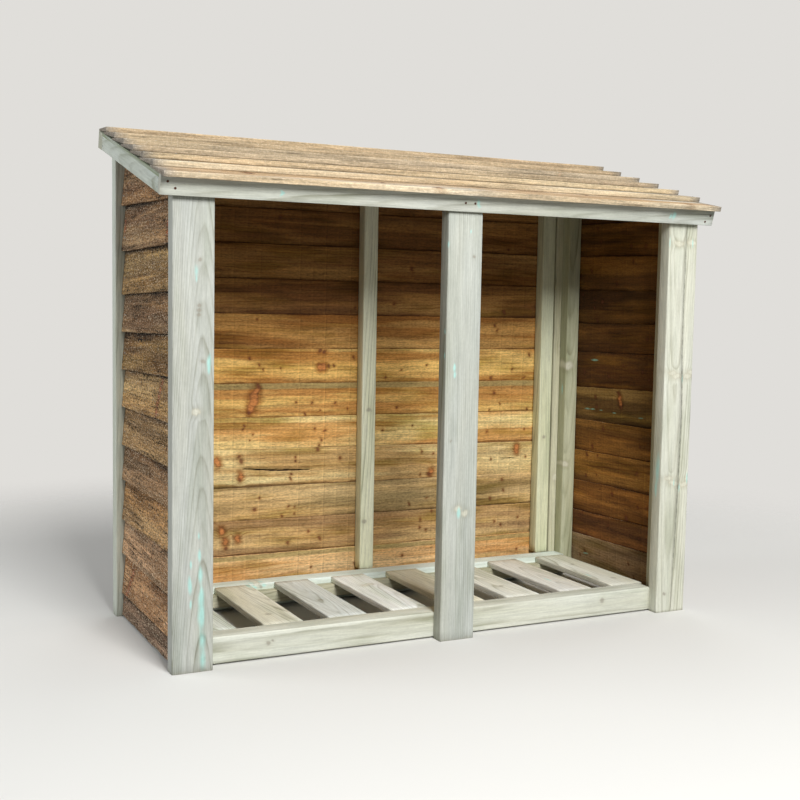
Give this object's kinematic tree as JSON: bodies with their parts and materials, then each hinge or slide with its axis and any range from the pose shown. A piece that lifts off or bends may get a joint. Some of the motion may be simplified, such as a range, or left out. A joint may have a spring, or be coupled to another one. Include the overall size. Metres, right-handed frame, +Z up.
{
  "type": "log store",
  "caption": "Free-standing open-fronted timber log store: two bays, slatted floor, boarded back and sides, sloping lapped-board roof.",
  "frame": {"origin": "on the ground under the middle of the outline", "axes": "+X along the width, to the right seen from the open front; +Y from the open front to the boarded back; +Z up"},
  "size_m": [1.83, 0.7718, 1.5282],
  "materials": {
    "frame_timber": "planed pressure-treated softwood, pale with a green-grey tinge",
    "slat": "planed pressure-treated softwood, tan grey",
    "wall_board": "sawn feather-edge boards, brown",
    "roof_board": "sawn feather-edge boards, orange tan"
  },
  "bodies": {
    "root": {"back_ledger": "frame_timber", "back_post_left": "frame_timber", "back_post_right": "frame_timber", "back_rail": "frame_timber", "back_stud_left": "frame_timber", "back_stud_middle": "frame_timber", "back_stud_right": "frame_timber", "barge_left": "frame_timber", "barge_right": "frame_timber", "cladding_back": "wall_board", "cladding_left": "wall_board", "cladding_right": "wall_board", "fascia": "frame_timber", "front_ledger": "frame_timber", "front_post_left": "frame_timber", "front_post_middle": "frame_timber", "front_post_right": "frame_timber", "front_rail": "frame_timber", "rafter_left": "frame_timber", "rafter_middle": "frame_timber", "rafter_right": "frame_timber", "roof_back_batten": "frame_timber", "roof_board_1": "roof_board", "roof_board_2": "roof_board", "roof_board_3": "roof_board", "roof_board_4": "roof_board", "roof_board_5": "roof_board", "roof_board_6": "roof_board", "roof_board_7": "roof_board", "side_stud_back_left": "frame_timber", "side_stud_back_right": "frame_timber", "side_stud_front_left": "frame_timber", "side_stud_front_right": "frame_timber", "slat_1": "slat", "slat_2": "slat", "slat_3": "slat", "slat_4": "slat", "slat_5": "slat", "slat_6": "slat", "slat_7": "slat", "slat_8": "slat"}
  },
  "joints": []
}
